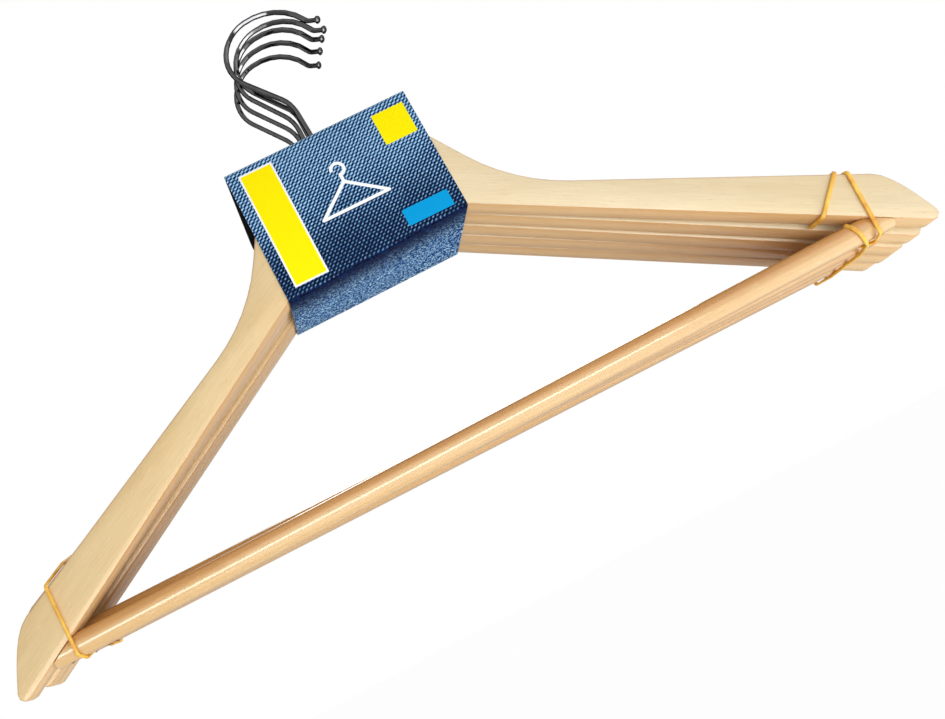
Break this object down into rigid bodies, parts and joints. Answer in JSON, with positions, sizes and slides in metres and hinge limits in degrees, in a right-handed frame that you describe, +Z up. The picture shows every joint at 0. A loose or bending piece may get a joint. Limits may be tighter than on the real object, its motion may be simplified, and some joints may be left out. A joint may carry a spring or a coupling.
{
  "type": "wooden clothes hanger pack",
  "caption": "Flat wooden clothes hangers with trouser bars and turning wire hooks, nested in a folded card sleeve and held at both ends by rubber bands.",
  "frame": {"origin": "the rail seat: the top of the inside of the middle hanger's hook", "axes": "+X along the trouser bars towards the side on which the hooks open, -Y towards the printed front of the sleeve, +Z up as the hangers hang"},
  "size_m": [0.4395, 0.0619, 0.2422],
  "materials": {
    "arm_wood": "clear satin lacquer on pale close-grained wood, grain along each arm",
    "bar_wood": "clear lacquered dowel, a little warmer than the arms",
    "hook_chrome": "polished bright plating on bent wire",
    "washer_zinc": "dull zinc",
    "brad_steel": "bare wire",
    "sleeve_card": "printed card in a denim pattern, dark uncoated inside",
    "band_rubber": "plain amber rubber"
  },
  "bodies": {
    "pack": {"hanger_1_left_arm": "arm_wood", "hanger_1_right_arm": "arm_wood", "hanger_1_washer": "washer_zinc", "hanger_1_bar": "bar_wood", "hanger_1_left_brad": "brad_steel", "hanger_1_right_brad": "brad_steel", "hanger_2_left_arm": "arm_wood", "hanger_2_right_arm": "arm_wood", "hanger_2_washer": "washer_zinc", "hanger_2_bar": "bar_wood", "hanger_2_left_brad": "brad_steel", "hanger_2_right_brad": "brad_steel", "hanger_3_left_arm": "arm_wood", "hanger_3_right_arm": "arm_wood", "hanger_3_washer": "washer_zinc", "hanger_3_bar": "bar_wood", "hanger_3_left_brad": "brad_steel", "hanger_3_right_brad": "brad_steel", "hanger_4_left_arm": "arm_wood", "hanger_4_right_arm": "arm_wood", "hanger_4_washer": "washer_zinc", "hanger_4_bar": "bar_wood", "hanger_4_left_brad": "brad_steel", "hanger_4_right_brad": "brad_steel", "hanger_5_left_arm": "arm_wood", "hanger_5_right_arm": "arm_wood", "hanger_5_washer": "washer_zinc", "hanger_5_bar": "bar_wood", "hanger_5_left_brad": "brad_steel", "hanger_5_right_brad": "brad_steel", "card_sleeve": "sleeve_card", "rubber_band_left": "band_rubber", "rubber_band_right": "band_rubber"},
    "hook_1": {"hanger_1_hook": "hook_chrome"},
    "hook_2": {"hanger_2_hook": "hook_chrome"},
    "hook_3": {"hanger_3_hook": "hook_chrome"},
    "hook_4": {"hanger_4_hook": "hook_chrome"},
    "hook_5": {"hanger_5_hook": "hook_chrome"}
  },
  "joints": [
    {"name": "hook_1_swivel", "type": "hinge", "parent": "pack", "child": "hook_1", "pos_m": [-0.001, -0.0245, -0.0995], "axis": [0, 0, 1], "range_deg": [-35, 70]},
    {"name": "hook_2_swivel", "type": "hinge", "parent": "pack", "child": "hook_2", "pos_m": [-0.0006, -0.0113, -0.0978], "axis": [0, 0, 1], "range_deg": [-35, 70]},
    {"name": "hook_3_swivel", "type": "hinge", "parent": "pack", "child": "hook_3", "pos_m": [-0.002, 0, -0.0972], "axis": [0, 0, 1], "range_deg": [-35, 70]},
    {"name": "hook_4_swivel", "type": "hinge", "parent": "pack", "child": "hook_4", "pos_m": [-0.0013, 0.0113, -0.0981], "axis": [0, 0, 1], "range_deg": [-35, 70]},
    {"name": "hook_5_swivel", "type": "hinge", "parent": "pack", "child": "hook_5", "pos_m": [-0.0025, 0.0226, -0.0974], "axis": [0, 0, 1], "range_deg": [-35, 70]}
  ],
  "couplings": [
    {"joint": "hook_2_swivel", "follows": "hook_1_swivel", "ratio": 1},
    {"joint": "hook_3_swivel", "follows": "hook_1_swivel", "ratio": 1},
    {"joint": "hook_4_swivel", "follows": "hook_1_swivel", "ratio": 1},
    {"joint": "hook_5_swivel", "follows": "hook_1_swivel", "ratio": 1}
  ]
}
